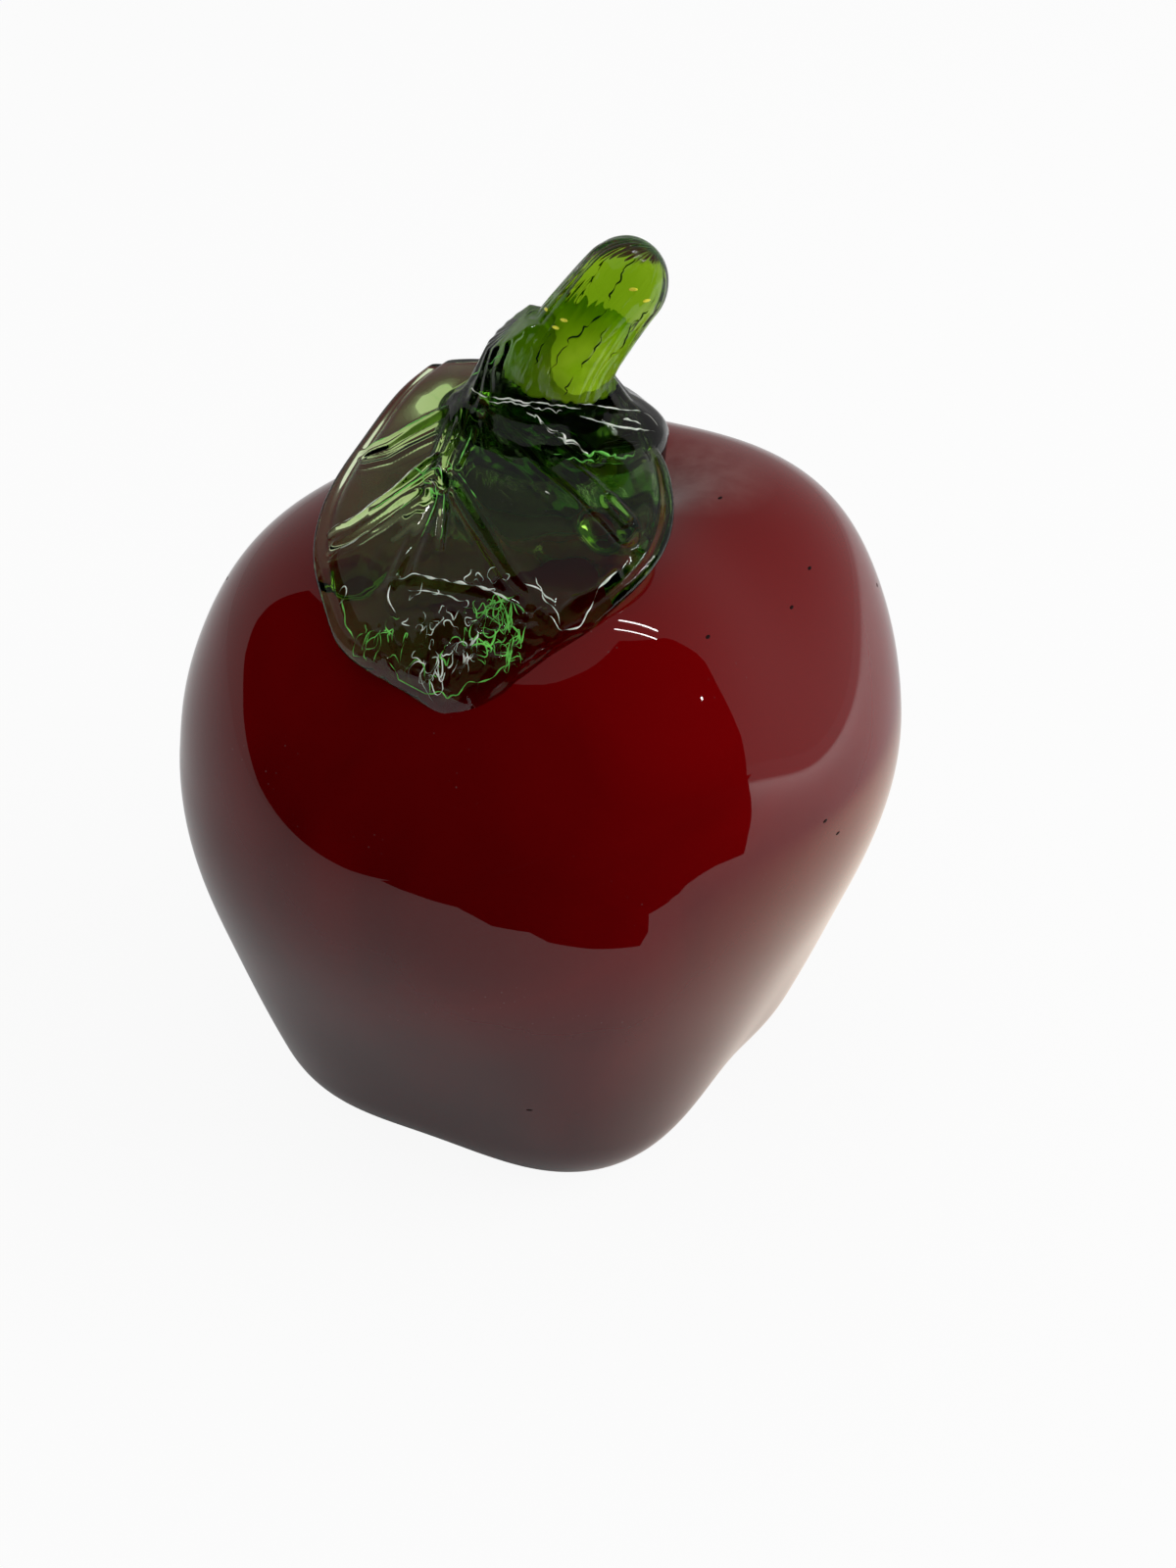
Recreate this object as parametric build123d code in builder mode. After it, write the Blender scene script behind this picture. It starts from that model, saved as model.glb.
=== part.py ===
"""Art glass apple: a hollow body of three layers of glass with a stem and a pressed leaf on top.

Millimetres. +Z is up, the ground feet stand on z = 0, and the body's axis is the Z axis.
The front of the apple faces -Y: the leaf hangs down over the front shoulder, and the stem leans to +X.
"""
from build123d import *
from math import cos, pi, radians, sin
import os

# Body: its outer surface, from the recess under the base to the dimple in the top
body_radius = 44.0
body_height = 82.6
foot_radius = 24.0
crest_radius = 19.0
dimple_depth = 5.4
dimple_floor_radius = 8.0
recess_depth = 4.2
pontil_radius = 8.0
grind_depth = 0.4

# Body: where its half section passes between those sizes. The flank's places are shares of the way from
# the foot out and up to the widest ring, and the shoulder's of the way from there in and up to the crest.
# The inner turns lie in the dimple and in the recess, as shares of the way across and of the depth.
widest_height_share = 0.641
flank_shares = [(0.32, 0.076), (0.48, 0.198), (0.78, 0.525)]
shoulder_shares = [(0.177, 0.448), (0.56, 0.866)]
inner_turn_share = 0.6
inner_level_share = 0.45

# Body: the lobes, which fade out at the widest ring, and the slight oval of blown glass
lobe_count = 4
foot_lobe_share = 0.075
crest_lobe_share = 0.086
crest_lobe_ease = 0.2
lobe_turn = -74.0
valley_rise = 1.2
oval_share = 0.061
oval_turn = 46.6

# Body: thickness of each layer, and the hole that the blowpipe left
casing_wall = 2.6
colour_wall = 0.8
bubble_wall = 1.8
neck_hole_radius = 5.0

# Seal: the gob that closes the neck and fills the dimple
seal_radius = 13.8
seal_top_radius = 12.2
seal_stand = 0.4
seal_bulge_share = 0.22

# Stem: a bent, tapered rod with a rounded end
stem_height = 27.8
stem_lean = 11.2
stem_foot_radius = 7.4
stem_tip_radius = 4.95
stem_tip_round = 4.6
stem_section_count = 8

# Collar: the gather that binds the stem's foot and the leaf
collar_height = 17.6
collar_half_width = 14.0
collar_half_depth = 11.2

# Leaf: a pressed blade, thickest at its pinched tip
leaf_length = 44.0
leaf_half_width = 19.6
leaf_thickness = 3.6
leaf_drop = 18.6
leaf_root_height = 8.8
leaf_root_back = 9.5
leaf_shift = 6.0
leaf_cup = 0.9

# How finely the curved pieces are drawn
ring_count = 25
ring_point_count = 24
leaf_point_count = 20

# Places worked out from the sizes above
widest_height = body_height * widest_height_share
dimple_floor_height = body_height - dimple_depth
shell_wall = casing_wall + colour_wall + bubble_wall
seal_top = body_height + seal_stand
overrun = casing_wall + colour_wall

os.makedirs("parts", exist_ok=True)


def held(value):
    """The value, kept between 0 and 1."""
    return min(max(value, 0.0), 1.0)


def way(start, end, share):
    """The value that lies a share of the way from start to end."""
    return start + (end - start) * share


# The half section of the body, from the recess, round the foot and the shoulder, into the dimple
section_points = [
    (pontil_radius, recess_depth),
    (way(pontil_radius, foot_radius, inner_turn_share), recess_depth * inner_level_share),
    (foot_radius, -grind_depth),
    *[(way(foot_radius, body_radius, out), widest_height * up) for out, up in flank_shares],
    (body_radius, widest_height),
    *[
        (way(body_radius, crest_radius, back), way(widest_height, body_height, up))
        for back, up in shoulder_shares
    ],
    (crest_radius, body_height),
    (crest_radius * inner_turn_share, body_height - dimple_depth * inner_level_share),
    (dimple_floor_radius, dimple_floor_height),
]
with BuildLine() as outer_section:
    Spline(*section_points)
outer_line = outer_section.edges()[0]


def section_line(depth):
    """The half section of the surface that lies a depth under the body's own."""
    points = []
    for point in section_points:
        along = outer_line % outer_line.param_at_point(point)
        points.append((point[0] - along.Y * depth, point[1] + along.X * depth))
    with BuildLine() as section:
        Spline(*points)
    return section.edges()[0]


def lobe_share(radius, height):
    """How far the lobes stand out of a ring, as a share of its radius."""
    if height < widest_height:
        fade = held((radius - pontil_radius) / (foot_radius - pontil_radius))
        return foot_lobe_share * held((widest_height - height) / widest_height) ** 1.5 * fade
    climb = held((height - widest_height) / (body_height - widest_height))
    climb *= climb * (1 + crest_lobe_ease) / (climb + crest_lobe_ease)
    return crest_lobe_share * climb * held(radius / crest_radius)


def ring(place):
    """One closed ring of a body surface, through a place of its half section."""
    lobes = lobe_share(place.X, place.Y)
    rise = valley_rise * lobes / foot_lobe_share if place.Y < widest_height else 0.0
    points = []
    for step in range(ring_point_count):
        turn = 2 * pi * step / ring_point_count
        lobe = cos(lobe_count * (turn - radians(lobe_turn)))
        oval = oval_share * cos(2 * (turn - radians(oval_turn)))
        reach = place.X * (1 + lobes * lobe + oval)
        points.append((reach * cos(turn), reach * sin(turn), place.Y + rise * (1 - lobe) / 2))
    with BuildLine() as closed:
        Spline(*points, periodic=True)
    return closed.wires()[0]


def body_solid(depth):
    """All that lies deeper in the body than the given depth, lofted from rings that aren't flat."""
    line = section_line(depth)
    return Solid.make_loft([ring(line @ (step / (ring_count - 1))) for step in range(ring_count)])


outer_body = body_solid(0)
colour_body = body_solid(casing_wall)
bubble_body = body_solid(casing_wall + colour_wall)
hollow_body = body_solid(shell_wall)


def open_neck():
    """Cuts the blowpipe's hole through the floor of the dimple."""
    with Locations((0, 0, dimple_floor_height + overrun)):
        Cylinder(
            neck_hole_radius,
            dimple_depth + shell_wall,
            align=(Align.CENTER, Align.CENTER, Align.MAX),
            mode=Mode.SUBTRACT,
        )


# Each layer's neck is opened before its inside is taken out, so that the inside always breaks through
with BuildPart() as clear_casing:
    add(outer_body)
    open_neck()
    add(colour_body, mode=Mode.SUBTRACT)
    # The feet are ground flat on the base plane
    Box(
        4 * body_radius,
        4 * body_radius,
        overrun,
        align=(Align.CENTER, Align.CENTER, Align.MAX),
        mode=Mode.SUBTRACT,
    )

with BuildPart() as red_layer:
    add(colour_body)
    open_neck()
    add(bubble_body, mode=Mode.SUBTRACT)

with BuildPart() as inner_bubble:
    add(bubble_body)
    open_neck()
    add(hollow_body, mode=Mode.SUBTRACT)


# Seal: a plug in the neck under a gob that fills the dimple. The gob is drawn down past the dimple's
# floor and then cut to the body's surface.
seal_bottom = dimple_floor_height - overrun
with BuildPart() as neck_seal:
    with BuildSketch(Plane.XZ):
        with BuildLine():
            Line((0, seal_bottom), (0, seal_top))
            Line((0, seal_top), (seal_top_radius, seal_top))
            Spline(
                (seal_top_radius, seal_top),
                (seal_radius, seal_top - dimple_depth * seal_bulge_share),
                (seal_radius, seal_bottom),
            )
            Line((seal_radius, seal_bottom), (0, seal_bottom))
        make_face()
    revolve(axis=Axis.Z)
    add(outer_body, mode=Mode.SUBTRACT)
    with Locations((0, 0, dimple_floor_height)):
        Cylinder(
            neck_hole_radius,
            shell_wall,
            align=(Align.CENTER, Align.CENTER, Align.MAX),
        )


# Stem: round sections along a bent line. Each place is a lean and a climb, as shares of the stem's sizes.
stem_place_shares = [
    (0.07, 0.0),
    (0.05, 0.13),
    (0.05, 0.33),
    (0.13, 0.51),
    (0.43, 0.72),
    (0.73, 0.88),
    (1.0, 1.0),
]
with BuildLine(Plane.XZ) as stem_route:
    Spline(*[(stem_lean * lean, seal_top + stem_height * climb) for lean, climb in stem_place_shares])
stem_line = stem_route.edges()[0]
with BuildPart() as stem:
    for step in range(stem_section_count):
        share = step / (stem_section_count - 1)
        with BuildSketch(Plane(origin=stem_line @ share, x_dir=(0, 1, 0), z_dir=stem_line % share)):
            Circle(stem_tip_radius + (stem_foot_radius - stem_tip_radius) * (1 - share) ** 1.5)
    loft()
    fillet(stem.faces().sort_by(Axis.Z)[-1].edges(), radius=stem_tip_round)
    add(neck_seal.part, mode=Mode.SUBTRACT)


# Collar: level ovals that swell round the stem's foot and lap up its left side. Each row is a height,
# a shift towards +X, a half width and a half depth, as shares of the collar's own sizes.
collar_shares = [
    (0.0, 0.02, 0.93, 1.0),
    (0.16, 0.03, 0.97, 1.0),
    (0.31, 0.03, 0.99, 0.98),
    (0.51, -0.03, 0.88, 0.80),
    (0.66, -0.09, 0.68, 0.58),
    (0.85, -0.18, 0.50, 0.42),
    (1.0, -0.24, 0.30, 0.30),
]
with BuildPart() as collar_gob:
    for climb, shift, width, depth in collar_shares:
        with BuildSketch(Plane.XY.offset(seal_top + collar_height * climb)):
            points = []
            for step in range(ring_point_count):
                turn = 2 * pi * step / ring_point_count
                reach = collar_half_width * (shift + width * cos(turn))
                points.append((reach, collar_half_depth * depth * sin(turn)))
            with BuildLine():
                Spline(*points, periodic=True)
            make_face()
    loft()
with BuildPart() as stem_collar:
    add(collar_gob.part)
    add(stem.part, mode=Mode.SUBTRACT)
    add(neck_seal.part, mode=Mode.SUBTRACT)
    add(outer_body, mode=Mode.SUBTRACT)


# Leaf: upright sections from the root behind the stem to the tip on the front shoulder. Each row is a
# place along the leaf, a left edge, a right edge, a drop, a thickness and a tilt up to the right, as shares
# of the leaf's sizes.
leaf_shares = [
    (0.0, -0.42, 0.40, -0.04, 0.5, -0.08),
    (0.12, -0.58, 0.60, 0.0, 0.9, -0.04),
    (0.30, -0.78, 0.90, 0.11, 0.9, 0.0),
    (0.48, -0.94, 1.0, 0.22, 0.8, 0.02),
    (0.66, -1.0, 0.96, 0.40, 0.8, 0.07),
    (0.79, -0.91, 0.78, 0.55, 0.9, 0.12),
    (0.88, -0.75, 0.54, 0.69, 1.1, 0.17),
    (0.94, -0.48, 0.31, 0.83, 1.2, 0.17),
    (0.98, -0.32, 0.13, 0.93, 1.0, 0.15),
    (1.0, -0.22, 0.03, 0.99, 0.6, 0.12),
]
with BuildPart() as leaf:
    for along, left, right, drop, thick, tilt in leaf_shares:
        middle = leaf_half_width * (left + right) / 2
        half = leaf_half_width * (right - left) / 2
        with BuildSketch(Plane.XZ.offset(leaf_length * along - leaf_root_back)):
            points = []
            for step in range(leaf_point_count):
                turn = 2 * pi * step / leaf_point_count
                reach = half * cos(turn)
                level = body_height + leaf_root_height - leaf_drop * drop + tilt * (middle + reach)
                cup = leaf_cup * (1 - cos(turn) ** 2)
                swell = leaf_thickness * thick * sin(turn) / 2
                points.append((middle + reach - leaf_shift, level + cup + swell))
            with BuildLine():
                Spline(*points, periodic=True)
            make_face()
    loft()
    add(collar_gob.part, mode=Mode.SUBTRACT)
    add(stem.part, mode=Mode.SUBTRACT)
    add(outer_body, mode=Mode.SUBTRACT)


pieces = {
    "clear_casing": clear_casing,
    "red_layer": red_layer,
    "inner_bubble": inner_bubble,
    "neck_seal": neck_seal,
    "stem": stem,
    "stem_collar": stem_collar,
    "leaf": leaf,
}
for name, piece in pieces.items():
    piece.part.label = name
    export_step(piece.part, f"parts/{name}.step")
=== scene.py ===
"""Art glass apple: a blown red body with a green seal, collar and leaf and a lime stem, in a plain studio.

Metres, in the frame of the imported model: +Z is up, the feet stand on z = 0 and the front faces -Y.
"""
import bpy
import bmesh
import numpy as np
from bpy.props import FloatProperty, FloatVectorProperty, PointerProperty
from math import cos, pi, radians, sin
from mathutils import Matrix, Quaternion, Vector, noise
from mathutils.bvhtree import BVHTree


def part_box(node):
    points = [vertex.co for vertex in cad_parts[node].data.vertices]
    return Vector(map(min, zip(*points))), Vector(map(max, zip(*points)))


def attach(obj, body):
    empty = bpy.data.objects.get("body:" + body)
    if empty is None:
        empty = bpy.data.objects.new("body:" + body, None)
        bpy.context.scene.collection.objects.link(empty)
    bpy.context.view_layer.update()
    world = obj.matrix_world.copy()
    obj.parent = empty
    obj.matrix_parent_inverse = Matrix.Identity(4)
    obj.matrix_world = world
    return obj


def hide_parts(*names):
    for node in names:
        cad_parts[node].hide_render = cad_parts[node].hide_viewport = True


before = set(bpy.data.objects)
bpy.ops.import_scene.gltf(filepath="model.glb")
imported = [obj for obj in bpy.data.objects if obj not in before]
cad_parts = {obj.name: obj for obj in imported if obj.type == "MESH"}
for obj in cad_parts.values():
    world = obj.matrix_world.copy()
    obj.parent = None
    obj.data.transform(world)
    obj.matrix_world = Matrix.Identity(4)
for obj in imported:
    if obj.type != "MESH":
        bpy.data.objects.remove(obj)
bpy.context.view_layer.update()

bl_info = {
    "name": "Art Glass Apple",
    "version": (1, 0, 0),
    "blender": (4, 5, 0),
    "location": "View3D > Sidebar > Glass Apple",
    "description": "Models a blown glass apple with a stem, a collar and a pressed leaf",
    "category": "Object",
}

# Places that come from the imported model
seal_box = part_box("neck_seal")
stem_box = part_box("stem")
collar_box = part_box("stem_collar")
leaf_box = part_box("leaf")

# The body's half section between its sizes. The flank's places are shares of the way from the foot to the
# widest ring, out and up, and the shoulder's of the way from there to the crest, in and up.
WIDEST_HEIGHT_SHARE = 0.641
FLANK_SHARES = [(0.32, 0.076), (0.48, 0.198), (0.78, 0.525)]
SHOULDER_SHARES = [(0.177, 0.448), (0.56, 0.866)]
INNER_TURN_SHARE = 0.6
INNER_LEVEL_SHARE = 0.45
LOBE_COUNT = 4
CREST_LOBE_EASE = 0.2

# The stem's middle line, as shares of its lean and its height
STEM_PLACE_SHARES = [
    (0.07, 0.0), (0.05, 0.13), (0.05, 0.33), (0.13, 0.51), (0.43, 0.72), (0.73, 0.88), (1.0, 1.0),
]

# The collar's ovals: height, shift, half width and half depth, as shares of the collar's sizes
COLLAR_SHARES = [
    (0.0, 0.02, 0.93, 1.0),
    (0.16, 0.03, 0.97, 1.0),
    (0.31, 0.03, 0.99, 0.98),
    (0.51, -0.03, 0.88, 0.80),
    (0.66, -0.09, 0.68, 0.58),
    (0.85, -0.18, 0.50, 0.42),
    (1.0, -0.24, 0.30, 0.30),
]

# The leaf's sections: a place along it, left edge, right edge, drop, thickness and tilt, as shares
LEAF_SHARES = [
    (0.0, -0.42, 0.40, -0.04, 0.5, -0.08),
    (0.12, -0.58, 0.60, 0.0, 0.9, -0.04),
    (0.30, -0.78, 0.90, 0.11, 0.9, 0.0),
    (0.48, -0.94, 1.0, 0.22, 0.8, 0.02),
    (0.66, -1.0, 0.96, 0.40, 0.8, 0.07),
    (0.79, -0.91, 0.78, 0.55, 0.9, 0.12),
    (0.88, -0.75, 0.54, 0.69, 1.1, 0.17),
    (0.94, -0.48, 0.31, 0.83, 1.2, 0.17),
    (0.98, -0.32, 0.13, 0.93, 1.0, 0.15),
    (1.0, -0.22, 0.03, 0.99, 0.6, 0.12),
]

# Lines pressed into the leaf: width and height as shares of the leaf's relief, then points, each a share of
# the half width from the middle line and a share of the length from the root
LEAF_LINES = [
    (1.2, 1.5, [(-0.17, 0.19), (-0.20, 0.25), (-0.23, 0.31), (-0.27, 0.38), (-0.30, 0.43), (-0.31, 0.47)]),
    (0.6, 0.9, [(-0.13, 0.33), (-0.17, 0.40), (-0.21, 0.46)]),
    (0.6, -0.9, [(-0.21, 0.20), (-0.26, 0.30), (-0.32, 0.42)]),
    (0.5, 0.7, [(-0.29, 0.24), (-0.39, 0.27), (-0.49, 0.30), (-0.63, 0.34), (-0.77, 0.36)]),
    (0.5, -0.8, [(-0.28, 0.26), (-0.47, 0.32), (-0.61, 0.37), (-0.75, 0.39)]),
    (0.5, 1.1, [(-0.33, 0.43), (-0.39, 0.44), (-0.53, 0.51), (-0.67, 0.56), (-0.81, 0.60), (-0.91, 0.61)]),
    (0.5, 0.8, [(-0.36, 0.48), (-0.51, 0.53), (-0.64, 0.57), (-0.69, 0.58)]),
    (0.6, -0.9, [(-0.42, 0.54), (-0.50, 0.56), (-0.59, 0.59), (-0.78, 0.64), (-0.90, 0.66)]),
    (1.1, -0.8, [(-0.31, 0.51), (-0.36, 0.59), (-0.43, 0.68), (-0.49, 0.76)]),
    (1.3, -0.6, [(-0.36, 0.56), (-0.50, 0.66), (-0.62, 0.76)]),
    (0.7, -0.7, [(-0.29, 0.51), (-0.28, 0.61), (-0.29, 0.69)]),
    (1.1, -0.9, [(-0.27, 0.51), (-0.16, 0.59), (-0.06, 0.67), (0.06, 0.77), (0.22, 0.88)]),
    (1.6, -1.1, [(0.0, 0.24), (0.08, 0.31), (0.19, 0.37), (0.31, 0.45), (0.48, 0.53), (0.60, 0.60),
                 (0.72, 0.67)]),
    (0.6, -0.8, [(0.64, 0.56), (0.74, 0.62)]),
    (0.7, 0.9, [(-0.16, 0.16), (-0.08, 0.20), (0.07, 0.21), (0.20, 0.22), (0.35, 0.22), (0.49, 0.23)]),
    (0.9, -0.8, [(0.17, 0.26), (0.29, 0.31), (0.44, 0.37), (0.55, 0.42)]),
    (0.8, 1.1, [(0.04, 0.80), (0.31, 0.90), (0.57, 0.83), (0.68, 0.78)]),
    (0.7, 1.4, [(-0.52, 0.77), (-0.41, 0.77), (-0.28, 0.79), (-0.12, 0.81), (0.02, 0.84), (0.12, 0.88)]),
]

# Where the leaf lies on the body: a share across, a share along, and how far it spreads each way
CONTACTS = [(0.42, 0.71, 0.21, 0.065), (0.62, 0.60, 0.12, 0.05), (-0.74, 0.69, 0.14, 0.045)]

# Threads of trapped air in the leaf, painted bright as glints and highlights: what fills them, a half width
# and a wobble in millimetres, and then places in shares across and along, or the pressed line that it follows
AIR_GLINT_THREADS = [
    ("white", 0.20, 0.25, LEAF_LINES[17][2]),
    ("white", 0.10, 0.30, [(-0.55, 0.78), (-0.56, 0.81), (-0.53, 0.84)]),
    ("white", 0.11, 0.25, [(-0.46, 0.79), (-0.30, 0.81), (-0.14, 0.84)]),
    ("white", 0.07, 0.05, LEAF_LINES[5][2]),
    ("white", 0.10, 0.15, [(-0.71, 0.62), (-0.78, 0.64), (-0.85, 0.65)]),
    ("white", 0.07, 0.05, [(-0.85, 0.76), (-0.81, 0.75), (-0.80, 0.77), (-0.84, 0.78)]),
    ("white", 0.16, 0.10, [(0.57, 0.83), (0.68, 0.78)]),
    ("white", 0.10, 0.20, [(0.31, 0.90), (0.44, 0.90), (0.57, 0.83)]),
    ("white", 0.12, 0.35, [(0.18, 0.81), (0.26, 0.83), (0.34, 0.86)]),
    ("white", 0.10, 0.35, [(0.23, 0.79), (0.29, 0.85), (0.37, 0.90)]),
    ("white", 0.06, 0.05, [(-0.36, 0.48), (-0.33, 0.47), (-0.30, 0.49), (-0.32, 0.52), (-0.36, 0.50)]),
    ("white", 0.10, 0.05, [(0.28, 0.54), (0.31, 0.55)]),
    ("green", 0.12, 0.05, LEAF_LINES[1][2]),
    ("green", 0.12, 0.05, [(-0.21, 0.48), (-0.10, 0.56)]),
    ("green", 0.09, 0.05, LEAF_LINES[3][2]),
    ("green", 0.06, 0.05, LEAF_LINES[4][2]),
    ("green", 0.08, 0.10, LEAF_LINES[6][2]),
    ("green", 0.12, 0.35, [(-0.42, 0.54), (-0.50, 0.56), (-0.59, 0.59)]),
    ("green", 0.10, 0.15, [(-0.31, 0.52), (-0.34, 0.58), (-0.40, 0.65)]),
    ("green", 0.08, 0.15, [(-0.29, 0.51), (-0.28, 0.61), (-0.29, 0.66)]),
    ("green", 0.16, 0.55, [(0.02, 0.83), (0.10, 0.91), (0.12, 0.95), (0.06, 0.97)]),
    ("green", 0.12, 0.40, [(-0.56, 0.92), (-0.37, 0.97), (-0.16, 0.99), (0.00, 0.98), (0.10, 0.96)]),
    ("green", 0.12, 0.40, [(-0.72, 0.86), (-0.77, 0.84), (-0.82, 0.76)]),
]

# Painted highlights and glints on the collar, laid as threads, with their places in millimetres
COLLAR_GLINT_THREADS = [
    ("white", 0.11, 0.4, [(-9.1, -1.0, 95.2), (-7.4, -3.8, 95.3), (-4.6, -5.3, 95.5), (-2.1, -6.0, 95.6),
                          (0.9, -6.1, 95.2), (3.6, -5.7, 94.5)]),
    ("white", 0.09, 0.5, [(-7.0, -4.4, 94.9), (-2.0, -6.4, 95.1), (2.0, -6.5, 94.4)]),
    ("white", 0.16, 0.7, [(-2.7, -6.4, 94.5), (-0.4, -7.4, 93.2), (2.5, -8.6, 91.8), (4.7, -9.0, 90.3)]),
    ("white", 0.10, 0.7, [(-1.9, -6.8, 94.1), (1.0, -8.2, 92.3), (4.0, -8.9, 90.8)]),
    ("green", 0.22, 0.6, [(3.1, -9.2, 91.0), (6.2, -8.4, 90.4), (8.6, -8.5, 90.0), (9.7, -6.7, 90.1)]),
    ("green", 0.12, 0.4, [(0.5, -9.6, 91.0), (4.5, -9.3, 89.8), (8.0, -8.8, 89.2)]),
    ("white", 0.14, 0.1, [(3.2, -6.1, 94.0), (5.5, -5.9, 93.2), (7.9, -5.4, 92.4), (11.7, -3.2, 90.9)]),
    ("white", 0.10, 0.1, [(3.0, -5.4, 95.1), (5.0, -4.8, 94.7), (8.4, -3.0, 93.4), (11.1, -1.5, 92.1),
                          (12.1, -2.1, 91.1)]),
    ("white", 0.20, 0.3, [(8.0, -4.4, 93.0), (10.2, -3.6, 92.0)]),
    ("green", 0.10, 0.3, [(-9.1, -0.2, 95.8), (-6.8, -2.5, 98.6), (-5.2, -3.5, 100.2)]),
]

# Where loops of painted glint fill the crumpled tip: what fills them, how many, and the ends of their place
# each way
GLINT_LOOPS = [
    ("green", 56, (-0.08, 0.16), (0.85, 0.96)), ("green", 14, (-0.74, -0.52), (0.85, 0.92)),
    ("green", 12, (-0.55, 0.0), (0.86, 0.97)), ("white", 34, (-0.46, -0.08), (0.86, 0.97)),
    ("white", 12, (-0.50, 0.10), (0.77, 0.86)), ("green", 8, (-0.45, -0.22), (0.46, 0.56)),
]

# Dark folds in the stem, painted yellow glints on it, and seeds in the body: half width, then places, in
# millimetres
STEM_FOLDS = [
    (0.13, [(9.3, -2.5, 111.3), (7.9, -4.0, 110.1), (6.3, -4.8, 107.5), (6.0, -5.0, 105.8),
            (4.0, -5.1, 104.4), (3.0, -5.1, 103.3), (1.3, -5.2, 101.5), (0.4, -5.3, 99.7),
            (-0.5, -5.4, 98.3)]),
    (0.12, [(6.1, -5.2, 104.1), (4.1, -5.4, 100.4), (2.1, -5.7, 97.7), (1.5, -5.8, 96.1)]),
    (0.10, [(11.1, -3.7, 107.1), (10.1, -4.0, 105.1), (8.8, -4.3, 104.2), (7.6, -4.0, 101.1),
            (6.2, -4.6, 100.1)]),
    (0.12, [(-0.3, -3.8, 102.7), (-1.2, -4.0, 101.1), (-1.8, -4.5, 99.0)]),
]
STEM_GLINTS = [
    (-0.7, -1.4, 104.5), (1.3, -4.0, 104.3), (0.4, -3.9, 103.4), (8.7, -4.7, 108.2), (10.2, -4.3, 106.8),
]
SEEDS = [
    (30.0, -7.4, 76.0), (27.5, -13.6, 74.3), (17.3, -25.3, 77.1), (39.8, 3.6, 67.9), (19.6, -2.9, 82.5),
    (-37.4, -5.5, 72.6), (33.7, -24.3, 50.7), (31.8, -26.2, 53.7), (-1.4, -37.3, 19.3),
]

# The dark screen behind the camera: height above the horizon, left edge and right edge, all in degrees
SCREEN_EDGES = [
    (-4, -36, 81), (0, -84, 85), (3, -95, 88), (8, -103, 90), (16, -108, 92), (26, -109.5, 96),
    (46, -108, 95), (51, -50, 91), (55, -14, 87), (60, 6, 82), (66, 40, 75), (68, 60, 72),
]
SCREEN_DISTANCE = 1.4
SCREEN_MIDDLE = np.array([0.0, -0.03, 0.07])

# The dark mat in front of the apple, with its edge where the lower body mirrors it
MAT_OUTLINE = [
    (1.04, -0.183), (0.212, -0.087), (0.156, -0.078), (0.135, -0.095), (0.099, -0.110), (0.079, -0.110),
    (0.062, -0.090), (0.051, -0.082), (0.035, -0.096), (0.019, -0.114), (0.012, -0.134), (-0.011, -0.150),
    (-0.055, -0.237), (-0.190, -0.389), (-0.64, -0.85), (-0.9, -1.4), (1.4, -1.4), (1.4, -0.183),
]
MAT_HEIGHT = 0.0004

# Lamps that are only mirrored: the two ends of each, turned and raised in degrees as seen from the apple's
# shoulder, and its width
SHOULDER_PLACE = Vector((0.01, -0.028, 0.078))
LAMP_STRIPS = [
    ((112, 71), (97.8, 51.9), 0.014),
    ((92, 73), (90.2, 51.0), 0.010),
    ((81.0, 16.9), (82.0, 16.9), 0.018),
]

# The middle of the warm light on the table
WARM_PLACE = (0.085, 0.005)

# A painted pale sheen, the room's light mirrored on the crest to the right of the leaf, and the colours that
# lie thinly over the red
PAINTED_SHEEN_PLACE = (0.015, 0.004)
PAINTED_SHEEN_PAINT = (0.30, 0.13, 0.12)
GROUND_PAINT = (0.20, 0.06, 0.06)
DUST_PAINT = (0.12, 0.05, 0.05)

# How high the leaf's root stands over the crest, and how long the leaf is
LEAF_ROOT_HEIGHT = 0.0088
LEAF_LENGTH = 0.044

# Points this near to each other are one, and things are let fall on the apple from this height
SAME_PLACE = 1e-7
DROP_HEIGHT = 0.13


def metres(name, description, default):
    return FloatProperty(name=name, description=description, default=default, unit="LENGTH")


def factor(name, description, default):
    return FloatProperty(name=name, description=description, default=default, subtype="FACTOR")


def angle(name, description, default):
    return FloatProperty(name=name, description=description, default=default, subtype="ANGLE")


def paint(name, description, default):
    return FloatVectorProperty(name=name, description=description, default=default, subtype="COLOR")


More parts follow.
